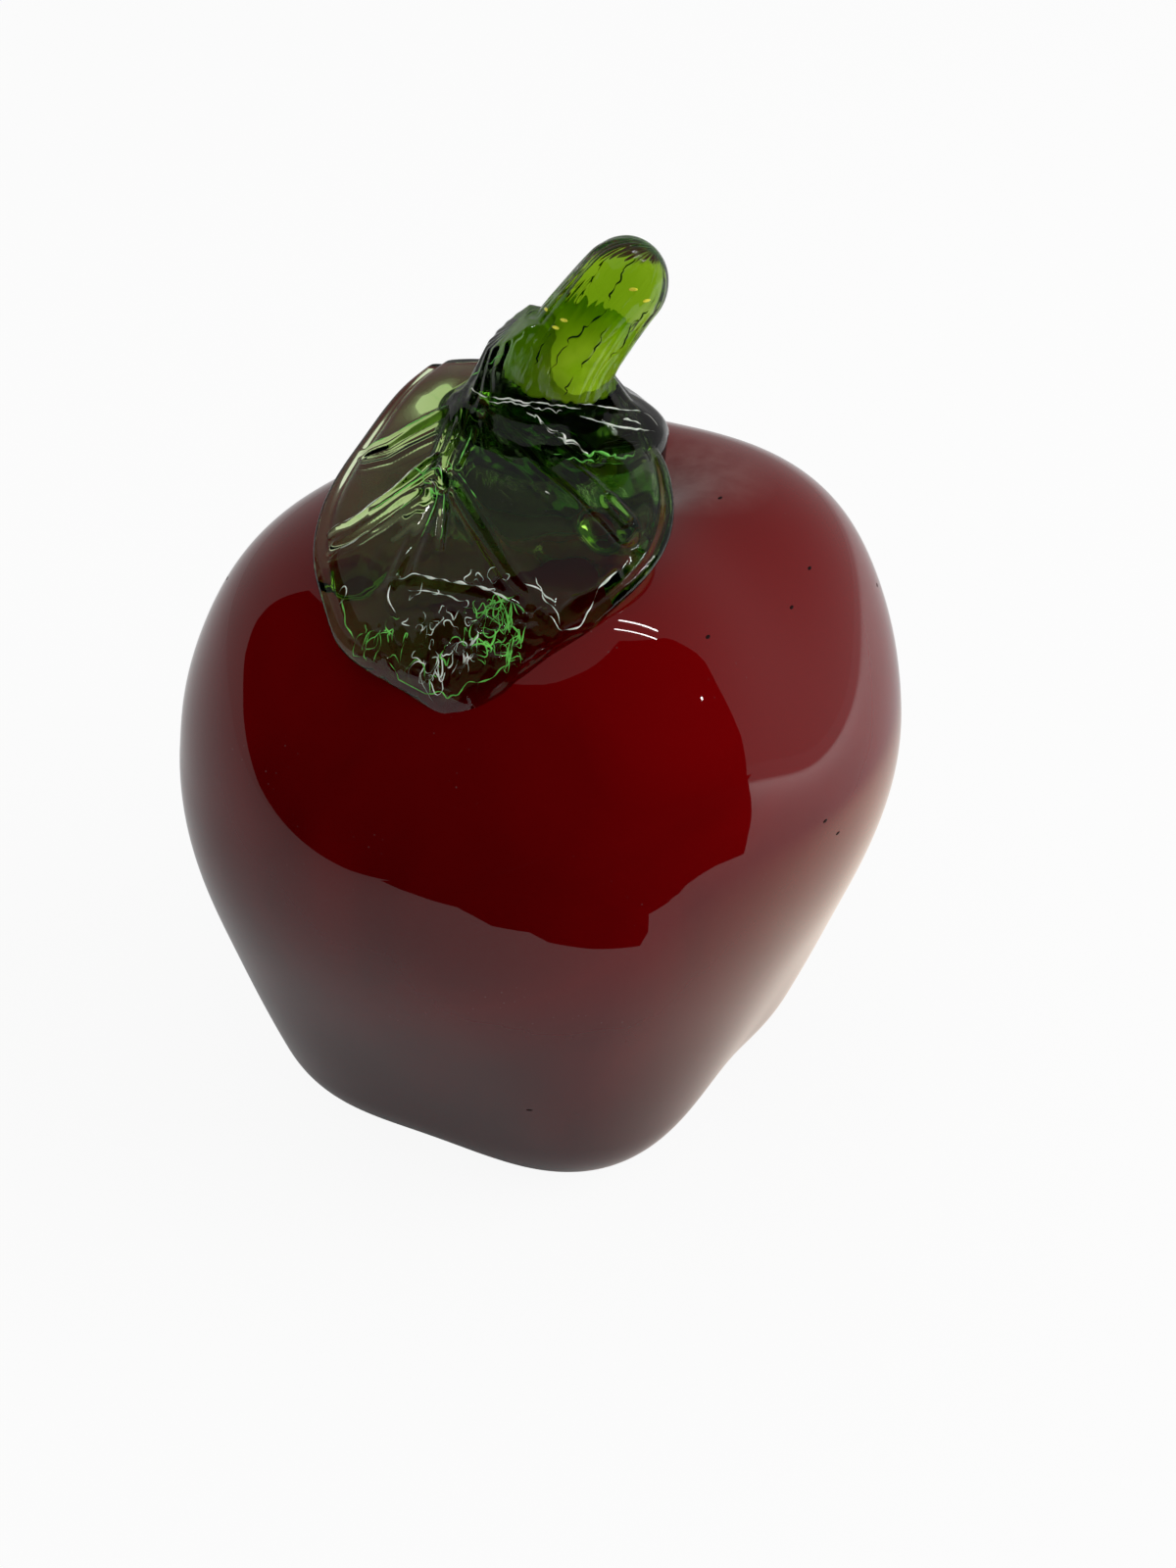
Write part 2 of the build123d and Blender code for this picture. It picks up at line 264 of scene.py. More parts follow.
class AppleBodySizes(bpy.types.PropertyGroup):
    """Sizes and colours of the blown body."""

    radius: metres("Radius", "Radius of the widest ring", 0.044)
    height: metres("Height", "Height of the crest over the feet", 0.0826)
    foot_radius: metres("Foot radius", "Radius of the ring that the feet lie on", 0.024)
    crest_radius: metres("Crest radius", "Radius of the highest ring", 0.019)
    dimple_depth: metres("Dimple depth", "Depth of the dimple in the top", 0.0054)
    dimple_floor_radius: metres("Dimple floor", "Radius of the dimple's floor", 0.008)
    recess_depth: metres("Recess depth", "Depth of the recess under the base", 0.0042)
    pontil_radius: metres("Pontil radius", "Radius of the ground pontil mark", 0.008)
    grind_depth: metres("Ground depth", "Glass ground off each foot", 0.0004)
    foot_lobe: factor("Foot lobes", "How far the feet stand out of their ring", 0.075)
    crest_lobe: factor("Crest lobes", "How far the shoulders stand out", 0.086)
    lobe_turn: angle("Lobe turn", "Where the first lobe lies", radians(-74))
    valley_rise: metres("Valley rise", "How far the base rises between its feet", 0.0012)
    oval: factor("Oval", "How far the body is out of round", 0.061)
    oval_turn: angle("Oval turn", "Where the oval is longest", radians(46.6))
    waviness: metres("Waviness", "Depth of the soft waves in the glass", 0.00014)
    # Painted light and shade: the lit red is painted where light falls on the shoulders, and the red towards
    # the base is painted shade
    lit_red: paint("Lit red", "Colour at the shoulders", (0.138, 0.0003, 0.0010))
    shaded_red: paint("Deep red", "Colour towards the base", (0.030, 0.0, 0.0003))


class AppleTopSizes(bpy.types.PropertyGroup):
    """Sizes and colours of the seal, the stem, the collar and the leaf."""

    seal_radius: metres("Seal radius", "Radius of the seal in the dimple", 0.0138)
    seal_top_radius: metres("Seal top", "Radius of the seal's top", 0.0122)
    stem_lean: metres("Stem lean", "How far the stem leans to the right", 0.0112)
    stem_foot_radius: metres("Stem foot", "Radius of the stem's foot", 0.0074)
    stem_tip_radius: metres("Stem tip", "Radius of the stem at its tip", 0.00495)
    collar_half_width: metres("Collar width", "Half width of the collar", 0.014)
    collar_half_depth: metres("Collar depth", "Half depth of the collar", 0.0112)
    leaf_half_width: metres("Leaf width", "Half width of the leaf", 0.0196)
    leaf_thickness: metres("Leaf thickness", "Thickness of the leaf's middle", 0.0036)
    leaf_drop: metres("Leaf drop", "How far the leaf's tip hangs down", 0.0186)
    leaf_shift: metres("Leaf shift", "How far the leaf sits to the left", 0.006)
    leaf_cup: metres("Leaf crown", "How far the leaf's middle stands over its edges", 0.0009)
    relief_height: metres("Relief height", "Depth of the lines pressed into the leaf", 0.0005)
    relief_width: metres("Relief width", "Width of the lines pressed into the leaf", 0.0006)
    leaf_green: paint("Leaf green", "What the leaf's glass lets through", (0.49, 0.66, 0.13))
    collar_green: paint("Collar green", "What the collar's glass lets through", (0.38, 0.70, 0.16))
    core_lime: paint("Core lime", "Colour of the milky core in the stem's foot", (0.56, 0.88, 0.05))
    stem_lime: paint("Stem lime", "What the stem's glass lets through", (0.66, 0.78, 0.02))


class AppleStudioSettings(bpy.types.PropertyGroup):
    """The camera's place and the level of the light."""

    distance: metres("Distance", "From the camera to the apple's middle", 0.2816)
    elevation: angle("Elevation", "How far the camera looks down", 0.5945)
    roll: angle("Roll", "How far the camera is turned", 0.0134)
    aim_height: metres("Aim", "Height that the camera looks at", 0.04)
    lens: FloatProperty(name="Lens", description="Focal length in millimetres", default=51.02)
    sky_level: FloatProperty(
        name="Sky level", description="How bright the room is that lights the glass", default=0.55
    )
    mirror_level: FloatProperty(
        name="Mirrored level", description="How bright the room is in reflections", default=0.38
    )


def apple():
    return bpy.context.scene.apple_body


def top():
    return bpy.context.scene.apple_top


# Shapes


def smooth_line(points, count):
    """Places on a smooth curve through the points, evenly spaced by length, one row each."""
    points = np.array(points, float)
    length = np.concatenate([[0], np.cumsum(np.linalg.norm(np.diff(points, axis=0), axis=1))])
    return natural_spline(length, points, np.linspace(0, length[-1], count))


def natural_spline(knots, values, places):
    """The natural cubic spline through values at the knots, read at the places."""
    knots, values = np.array(knots, float), np.array(values, float)
    step = np.diff(knots)
    slope = np.diff(values, axis=0) / step.reshape(-1, *[1] * (values.ndim - 1))
    matrix = np.eye(len(knots))
    right = np.zeros_like(values)
    for i in range(1, len(knots) - 1):
        matrix[i, i - 1:i + 2] = step[i - 1], 2 * (step[i - 1] + step[i]), step[i]
        right[i] = 6 * (slope[i] - slope[i - 1])
    bend = np.linalg.solve(matrix, right)
    k = np.clip(np.searchsorted(knots, places) - 1, 0, len(step) - 1)
    h = step[k].reshape(-1, *[1] * (values.ndim - 1))
    b = (places - knots[k]).reshape(h.shape)
    a = h - b
    return (
        (bend[k] * a ** 3 + bend[k + 1] * b ** 3) / (6 * h)
        + (values[k] / h - bend[k] * h / 6) * a
        + (values[k + 1] / h - bend[k + 1] * h / 6) * b
    )


def table_at(shares, places):
    """The columns of a table of shares, read along its first column."""
    table = np.array(shares)
    return natural_spline(table[:, 0], table[:, 1:], places).T


def way(start, end, share):
    return start + (end - start) * share


def distance_to_line(x, y, points):
    """How far each place lies from a run of straight pieces through the points."""
    nearest = np.full(x.shape, 1e9)
    for (ax, ay), (bx, by) in zip(points, points[1:]):
        dx, dy = bx - ax, by - ay
        share = np.clip(((x - ax) * dx + (y - ay) * dy) / (dx * dx + dy * dy), 0, 1)
        nearest = np.minimum(nearest, np.hypot(x - ax - share * dx, y - ay - share * dy))
    return nearest


def waves(places, size, seed):
    """Smooth noise between -1 and 1 at each place, with waves of the given size."""
    shift = Vector((seed, 3.1 * seed, 7.7 * seed))
    return np.array([noise.noise(Vector(p) / size + shift) for p in places])


def ball(across, along):
    """A unit ball of quads, and where its points lie: turn round the Z axis and share from the top pole."""
    shape = bmesh.new()
    bmesh.ops.create_uvsphere(shape, u_segments=across, v_segments=along, radius=1)
    places = np.array([v.co for v in shape.verts])
    turn = np.arctan2(places[:, 1], places[:, 0])
    share = np.arccos(np.clip(places[:, 2], -1, 1)) / pi
    return shape, turn, share


def finer_above(turn):
    """Moves the points of a ball's rings so that two thirds of them lie on the upper half."""
    away = (turn / (2 * pi) - 0.25 + 0.5) % 1 - 0.5
    above = pi / 2 * (1 + away * 3)
    below = np.where(away > 0, pi + (away - 1 / 3) * 3 * pi, -(-1 / 3 - away) * 3 * pi)
    return np.where(np.abs(away) <= 1 / 3, above, below)


def surface(name):
    """The surface of a finished piece, to lay other shapes on."""
    return BVHTree.FromObject(bpy.data.objects[name], bpy.context.evaluated_depsgraph_get())


def drop_on(tree, x, y):
    """Where something let fall at a place comes to lie."""
    return tree.ray_cast(Vector((x, y, DROP_HEIGHT)), Vector((0, 0, -1)))[0]


def put(shape, places):
    for vertex, place in zip(shape.verts, places):
        vertex.co = place


def spun(section, steps):
    """A closed shape, turned from a half section that runs from pole to pole."""
    shape = bmesh.new()
    verts = [shape.verts.new((radius, 0, height)) for radius, height in section]
    edges = [shape.edges.new(pair) for pair in zip(verts, verts[1:])]
    bmesh.ops.spin(
        shape, geom=verts + edges, cent=(0, 0, 0), axis=(0, 0, 1), angle=2 * pi, steps=steps, use_merge=True
    )
    bmesh.ops.remove_doubles(shape, verts=shape.verts, dist=SAME_PLACE)
    return shape


def thread(line, radius):
    """A fine thread along a line of places, which thins out at both ends and breaks here and there."""
    line = np.array(line)
    full = np.clip(0.55 + 1.6 * waves(line, 0.0011, 7.0), 0.02, 1)
    count = len(line)
    shape, turn, share = ball(8, count)
    ahead = np.gradient(line, axis=0)
    side = np.cross(ahead, (0, 0, 1))
    over = np.cross(side, ahead)
    side = side / np.linalg.norm(side, axis=1)[:, None]
    over = over / np.linalg.norm(over, axis=1)[:, None]
    at = share * (count - 1)
    middle, side, over = (
        np.stack([np.interp(at, np.arange(count), column) for column in rows.T], axis=1)
        for rows in (line, side, over)
    )
    reach = radius * np.sin(pi * share) ** 0.4 * np.interp(at, np.arange(count), full)
    put(shape, middle + (reach * np.cos(turn))[:, None] * side + (reach * np.sin(turn))[:, None] * over)
    return shape


def joined(shapes):
    """One shape of many."""
    whole = bmesh.new()
    for shape in shapes:
        mesh = bpy.data.meshes.new("part")
        shape.to_mesh(mesh)
        shape.free()
        whole.from_mesh(mesh)
        bpy.data.meshes.remove(mesh)
    return whole


def new_object(name, shape, material):
    """An object of a finished shape, with its place in its mesh."""
    mesh = bpy.data.meshes.new(name)
    shape.to_mesh(mesh)
    shape.free()
    mesh.materials.append(material)
    thing = bpy.data.objects.new(name, mesh)
    bpy.context.scene.collection.objects.link(thing)
    return thing


def finished_piece(shape, name, material, slot, *nodes):
    """Makes a piece of the finished shape, which rides on the body and stands for the nodes."""
    shape.normal_update()
    bmesh.ops.recalc_face_normals(shape, faces=shape.faces)
    if shape.calc_volume(signed=True) < 0:
        bmesh.ops.reverse_faces(shape, faces=shape.faces)
    piece = new_object(name, shape, material)
    piece.data.shade_smooth()
    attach(piece, "root")
    if nodes:
        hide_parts(*nodes)


# Materials


def new_material(name):
    material = bpy.data.materials.new(name)
    material.use_nodes = True
    material.node_tree.nodes.clear()
    return material, material.node_tree


def add_node(tree, kind, values=None, **settings):
    """A node with its settings. Each value is set on its input, or linked to it if it's another's output."""
    node = tree.nodes.new(kind)
    for key, value in settings.items():
        setattr(node, key, value)
    for key, value in (values or {}).items():
        if isinstance(value, bpy.types.NodeSocket):
            tree.links.new(value, node.inputs[key])
        else:
            node.inputs[key].default_value = value
    return node


def colour(value):
    return (*value, 1.0)


def object_places(tree):
    return add_node(tree, "ShaderNodeTexCoord").outputs["Object"]


def mixed_colour(tree, share, first, second):
    """A colour between two, each a colour or a socket."""
    first, second = (colour(value) if isinstance(value, tuple) else value for value in (first, second))
    values = {"Factor": share, 6: first, 7: second}
    return add_node(tree, "ShaderNodeMix", values, data_type="RGBA").outputs[2]


def mapped(tree, value, low, high, to_low=0.0, to_high=1.0):
    """A value moved from one range to another, and kept in it."""
    limits = {"From Min": low, "From Max": high, "To Min": to_low, "To Max": to_high}
    return add_node(tree, "ShaderNodeMapRange", {"Value": value, **limits}).outputs["Result"]


def maths(tree, operation, first, second, use_clamp=False):
    values = {0: first, 1: second}
    return add_node(tree, "ShaderNodeMath", values, operation=operation, use_clamp=use_clamp).outputs[0]


def distance_from(tree, places, middle):
    values = {0: places, 1: middle}
    return add_node(tree, "ShaderNodeVectorMath", values, operation="DISTANCE").outputs["Value"]


def cloud(tree, places, scale, detail=3.0, distortion=0.0):
    values = {"Vector": places, "Scale": scale, "Detail": detail, "Distortion": distortion}
    return add_node(tree, "ShaderNodeTexNoise", values).outputs["Fac"]


def show(tree, shader, **depth):
    """Puts a shader on the surface, and another in the depth where one is given as Volume."""
    add_node(tree, "ShaderNodeOutputMaterial", {"Surface": shader.outputs[0], **depth})


def wear_group():
    """Smears and dust on the glass, as two masks. Both are spread by noise in the piece's own space."""
    name = "smears_and_dust"
    if name in bpy.data.node_groups:
        return bpy.data.node_groups[name]
    group = bpy.data.node_groups.new(name, "ShaderNodeTree")
    size = group.interface.new_socket("Smear size", in_out="INPUT", socket_type="NodeSocketFloat")
    size.default_value = 60.0
    for mask in ("Smears", "Dust"):
        group.interface.new_socket(mask, in_out="OUTPUT", socket_type="NodeSocketFloat")
    inlet = add_node(group, "NodeGroupInput")
    places = object_places(group)
    patches = cloud(group, places, inlet.outputs["Smear size"], 4.0, 1.2)
    grains = add_node(group, "ShaderNodeTexVoronoi", {"Vector": places, "Scale": 900.0, "Randomness": 1.0})
    speck = mapped(group, grains.outputs["Distance"], 0.05, 0.13, 1.0, 0.0)
    where = mapped(group, cloud(group, places, 90.0, 2.0), 0.60, 0.72)
    add_node(group, "NodeGroupOutput", {
        "Smears": mapped(group, patches, 0.52, 0.72), "Dust": maths(group, "MULTIPLY", speck, where),
    })
    return group


def worn(tree, smear_size):
    return add_node(tree, "ShaderNodeGroup", {"Smear size": smear_size}, node_tree=wear_group())


def red_glass():
    """Deep red under a clear gloss, ground where it stands, with painted light and shade: lighter at the
    shoulders and to the right, darker to the base, and a painted pale sheen right of the leaf.
    """
    material, tree = new_material("red_cased_glass")
    body = apple()
    places = object_places(tree)
    split = add_node(tree, "ShaderNodeSeparateXYZ", {0: places})
    # Painted light and shade: lighter towards the top and to the right, where the light falls, and darker
    # towards the base
    climb = mapped(tree, split.outputs["Z"], body.height * 0.1, body.height * 0.95)
    across = mapped(tree, split.outputs["X"], -body.radius, body.radius, -0.30, 0.30)
    swirl = mapped(tree, cloud(tree, places, 38.0, 3.0, 0.8), 0.3, 0.7, -0.16, 0.16)
    share = maths(tree, "ADD", maths(tree, "ADD", climb, across), swirl, use_clamp=True)
    red = mixed_colour(tree, share, tuple(body.shaded_red), tuple(body.lit_red))
    # A painted sheen: a pale reflection of the room on the crest to the right of the leaf
    near = mapped(tree, distance_from(tree, places, (*PAINTED_SHEEN_PLACE, body.height)), 0.002, 0.012, 0.6, 0.0)
    painted_sheen = maths(tree, "MULTIPLY", near, mapped(tree, cloud(tree, places, 420.0, 5.0), 0.35, 0.65, 0.5, 1.0))
    red = mixed_colour(tree, painted_sheen, red, PAINTED_SHEEN_PAINT)
    ground = mapped(tree, split.outputs["Z"], 0.00002, 0.00008, 1.0, 0.0)
    red = mixed_colour(tree, ground, red, GROUND_PAINT)
    wear = worn(tree, 55.0)
    red = mixed_colour(tree, wear.outputs["Dust"], red, DUST_PAINT)
    smeared = mapped(tree, wear.outputs["Smears"], 0.0, 1.0, 0.30, 0.42)
    roughness = maths(tree, "ADD", smeared, ground, use_clamp=True)
    show(tree, add_node(tree, "ShaderNodeBsdfPrincipled", {
        "Base Color": red, "Roughness": roughness, "IOR": 1.5, "Specular IOR Level": 0.0,
        "Coat Weight": 1.0, "Coat Roughness": 0.02, "Coat IOR": 1.5,
    }))
    return material


def clear_glass(name, lets_through, density, streak, streak_scale):
    """Glass that is clear at its surface, apart from faint streaks, and coloured by its depth."""
    material, tree = new_material(name)
    streaks = mapped(tree, cloud(tree, object_places(tree), streak_scale, 4.0, 2.0), 0.56, 0.70)
    shader = add_node(tree, "ShaderNodeBsdfPrincipled", {
        "Base Color": mixed_colour(tree, streaks, (1.0, 1.0, 1.0), streak),
        "Roughness": mapped(tree, worn(tree, 120.0).outputs["Smears"], 0.0, 1.0, 0.0, 0.05),
        "IOR": 1.5, "Transmission Weight": 1.0, "Metallic": 0.0,
    })
    depth = add_node(tree, "ShaderNodeVolumeAbsorption", {"Color": colour(lets_through), "Density": density})
    show(tree, shader, Volume=depth.outputs[0])


def plain_glass(name, tone, roughness, gloss=1.0, grain_size=1500.0):
    """Glass that can't be seen into: trapped air painted bright as glints, painted yellow glints, a fold, a
    seed or the milky core.
    """
    material, tree = new_material(name)
    grain = mapped(tree, cloud(tree, object_places(tree), grain_size, 2.0), 0.35, 0.65)
    dark = tuple(0.75 * part for part in tone)
    pale = tuple(min(1.0, 1.25 * part) for part in tone)
    show(tree, add_node(tree, "ShaderNodeBsdfPrincipled", {
        "Base Color": mixed_colour(tree, grain, dark, pale), "Roughness": roughness,
        "Specular IOR Level": 0.5 * gloss, "Coat Weight": gloss, "Coat Roughness": 0.05,
    }))
    return material


# Pieces


def body_section():
    """The half section of the body, from the middle of the recess to the middle of the dimple."""
    body = apple()
    widest = body.height * WIDEST_HEIGHT_SHARE
    floor = body.height - body.dimple_depth
    points = [
        (body.pontil_radius, body.recess_depth),
        (way(body.pontil_radius, body.foot_radius, INNER_TURN_SHARE), body.recess_depth * INNER_LEVEL_SHARE),
        (body.foot_radius, -body.grind_depth),
        *[(way(body.foot_radius, body.radius, out), widest * up) for out, up in FLANK_SHARES],
        (body.radius, widest),
        *[
            (way(body.radius, body.crest_radius, back), way(widest, body.height, up))
            for back, up in SHOULDER_SHARES
        ],
        (body.crest_radius, body.height),
        (body.crest_radius * INNER_TURN_SHARE, body.height - body.dimple_depth * INNER_LEVEL_SHARE),
        (body.dimple_floor_radius, floor),
    ]
    line = smooth_line(points, 170)
    middle = [(body.pontil_radius * share, body.recess_depth) for share in (0.0, 0.35, 0.7, 0.94)]
    floor_line = [(body.dimple_floor_radius * share, floor) for share in (0.7, 0.35, 0.0)]
    return np.concatenate([middle, line, floor_line])


def lobe_share(radius, height):
    """How far the lobes stand out of each ring, as a share of its radius."""
    body = apple()
    widest = body.height * WIDEST_HEIGHT_SHARE
    fade = np.clip((radius - body.pontil_radius) / (body.foot_radius - body.pontil_radius), 0, 1)
    low = body.foot_lobe * np.clip((widest - height) / widest, 0, 1) ** 1.5 * fade
    climb = np.clip((height - widest) / (body.height - widest), 0, 1)
    climb = climb ** 2 * (1 + CREST_LOBE_EASE) / (climb + CREST_LOBE_EASE)
    high = body.crest_lobe * climb * np.clip(radius / body.crest_radius, 0, 1)
    return np.where(height < widest, low, high)


class APPLE_OT_blow_body(bpy.types.Operator):
    """Blows the lobed body and grinds its feet flat"""

    bl_idname = "apple.blow_body"
    bl_label = "Blow the body"

    def execute(self, context):
        body = apple()
        shape = spun(body_section(), 288)
        places = np.array([v.co for v in shape.verts])
        radius, turn = np.hypot(places[:, 0], places[:, 1]), np.arctan2(places[:, 1], places[:, 0])
        height = places[:, 2]
        lobes = lobe_share(radius, height)
        lobe = np.cos(LOBE_COUNT * (turn - body.lobe_turn))
        below = height < body.height * WIDEST_HEIGHT_SHARE
        rise = np.where(below, body.valley_rise * lobes / body.foot_lobe, 0)
        # The waves only take glass away, and fade out over the last centimetre above the feet
        ripple = body.waviness * (waves(places, 0.016, 2.0) - 1) / 2 * np.clip(height / 0.01, 0, 1)
        reach = radius * (1 + lobes * lobe + body.oval * np.cos(2 * (turn - body.oval_turn))) + ripple
        reach = np.where(radius < 1e-6, 0, reach)
        height = np.maximum(height + rise * (1 - lobe) / 2, 0)
        put(shape, np.stack([reach * np.cos(turn), reach * np.sin(turn), height], axis=1))
        finished_piece(
            shape, "cased_body", red_glass(), "red_glass", "clear_casing", "red_layer", "inner_bubble"
        )
        return {"FINISHED"}


class APPLE_OT_close_neck(bpy.types.Operator):
    """Drops the seal into the dimple"""

    bl_idname = "apple.close_neck"
    bl_label = "Close the neck"

    def execute(self, context):
        low, high = seal_box[0].z, seal_box[1].z
        wide, narrow = top().seal_radius, top().seal_top_radius
        side = smooth_line([
            (narrow, high),
            (wide, high - (high - low) * 0.16),
            (wide, high - (high - low) * 0.5),
        ], 14)
        section = [(0, high), (narrow * 0.5, high), *[tuple(p) for p in side], (wide * 0.4, low), (0, low)]
        glass = bpy.data.materials["deep_green_glass"]
        finished_piece(spun(section, 128), "dimple_seal", glass, "green_glass", "neck_seal")
        return {"FINISHED"}


class APPLE_OT_draw_stem(bpy.types.Operator):
    """Draws the bent stem to its rounded tip, with a milky core in its foot"""

    bl_idname = "apple.draw_stem"
    bl_label = "Draw the stem"

    def execute(self, context):
        sizes = top()
        low, high = stem_box[0].z, stem_box[1].z
        tip = sizes.stem_tip_radius
        # The leaning tip's rounded end stands this far over the end of its middle line
        over_end = tip * 0.28
        line = smooth_line([(sizes.stem_lean * lean, low + (high - low - over_end) * climb)
                            for lean, climb in STEM_PLACE_SHARES], 200)
        length = np.concatenate([[0], np.cumsum(np.hypot(*np.diff(line, axis=0).T))])
        # The ball's lower rings close the flat foot, and its upper rings the round tip
        foot, cap = 0.02, 0.16
        shape, turn, share = ball(160, 170)
        share = 1 - share
        end = length[-1] - tip
        quarter = np.clip((share - (1 - cap)) / cap, 0, 1) * pi / 2
        straight = end * np.clip((share - foot) / (1 - cap - foot), 0, 1)
        along = np.where(share > 1 - cap, end + tip * np.sin(quarter), straight)
        radius = tip + (sizes.stem_foot_radius - tip) * (1 - np.clip(along / length[-1], 0, 1)) ** 1.5
        radius = radius * np.cos(quarter) * np.clip(share / foot, 0, 1)
        x, z = np.interp(along, length, line[:, 0]), np.interp(along, length, line[:, 1])
        near = 2e-4
        ahead = np.clip(along + near, 0, length[-1])
        behind = ahead - 2 * near
        dx, dz = (np.interp(ahead, length, part) - np.interp(behind, length, part) for part in line.T)
        size = np.hypot(dx, dz)
        dx, dz = dx / size, dz / size
        ring = np.stack([np.cos(turn) * 2.4, np.sin(turn) * 2.4, along / 0.02], axis=1)
        radius = radius * (1 - 0.03 * (1 + waves(ring, 1.0, 5.0)) / 2)
        creases = (1 - np.abs(waves(ring * [2.2, 2.2, 1.6], 1.0, 9.0))) ** 8
        radius = radius - 0.00022 * creases * np.cos(quarter)
        out, side = radius * np.cos(turn), radius * np.sin(turn)
        put(shape, np.stack([x + out * dz, side, z - out * dx], axis=1))
        finished_piece(shape, "drawn_stem", bpy.data.materials["stem_lime_glass"], "lime_glass", "stem")
        self.fill_core(line, way(low, high, 0.40), way(low, high, 0.74))
        return {"FINISHED"}

    def fill_core(self, line, low, high):
        """A milky lime core in the stem's foot, with a ragged lower end."""
        sizes = top()
        shape, turn, share = ball(96, 60)
        share = 1 - share
        ring = np.stack([np.cos(turn), np.sin(turn), np.zeros_like(turn)], axis=1)
        ragged = 0.0006 * waves(ring, 0.16, 2.0) - 0.0009 * np.cos(turn)
        z = way(low + ragged, high, share)
        x = np.interp(z, line[:, 1], line[:, 0])
        climb = (z - line[0, 1]) / (line[-1, 1] - line[0, 1])
        radius = 0.88 * way(sizes.stem_tip_radius, sizes.stem_foot_radius, (1 - climb) ** 1.5)
        closing = np.sin(pi * share)
        radius = radius * np.clip(closing * 6, 0, 1) ** 0.5 * np.where(share > 0.5, closing ** 0.5, 1)
        put(shape, np.stack([x + radius * np.cos(turn), radius * np.sin(turn), z], axis=1))
        material = plain_glass("milky_lime", tuple(sizes.core_lime), 0.6, gloss=0.0, grain_size=150.0)
        finished_piece(shape, "stem_core", material, "lime_glass")


class APPLE_OT_wrap_collar(bpy.types.Operator):
    """Wraps the collar round the stem's foot"""

    bl_idname = "apple.wrap_collar"
    bl_label = "Wrap the collar"

    def execute(self, context):
        wide, deep = top().collar_half_width, top().collar_half_depth
        low, high = collar_box[0].z, collar_box[1].z
        shape, turn, share = ball(144, 90)
        share = 1 - share
        # The ball's first and last rings close the flat ends
        end = 0.05
        closing = np.minimum(np.clip(share / end, 0, 1), np.clip((1 - share) / end, 0, 1))
        closing = np.sin(closing * pi / 2)
        climb = np.clip((share - end) / (1 - 2 * end), 0, 1)
        shift, width, depth = table_at(COLLAR_SHARES, climb)
        x = wide * (shift + width * np.cos(turn) * closing)
        y = deep * depth * np.sin(turn) * closing
        slant = 0.75 * np.clip(x + 0.006, -0.004, 0.0035) * np.clip((climb - 0.6) / 0.3, 0, 1)
        z = low + (high - low) * climb + slant
        places = np.stack([x, y, z], axis=1)
        lumps = 1 - 0.04 * (1 + waves(places, 0.0045, 3.0)) * closing
        grooves = 1 + np.cos(17 * turn + 3 * waves(places, 0.004, 8.0))
        flutes = 1 - 0.02 * grooves * np.clip((climb - 0.45) / 0.3, 0, 1) * closing
        x = wide * shift + (x - wide * shift) * lumps * flutes
        y = y * lumps * flutes
        put(shape, np.stack([x, y, z], axis=1))
        glass = bpy.data.materials["deep_green_glass"]
        finished_piece(shape, "wrapped_collar", glass, "green_glass", "stem_collar")
        return {"FINISHED"}


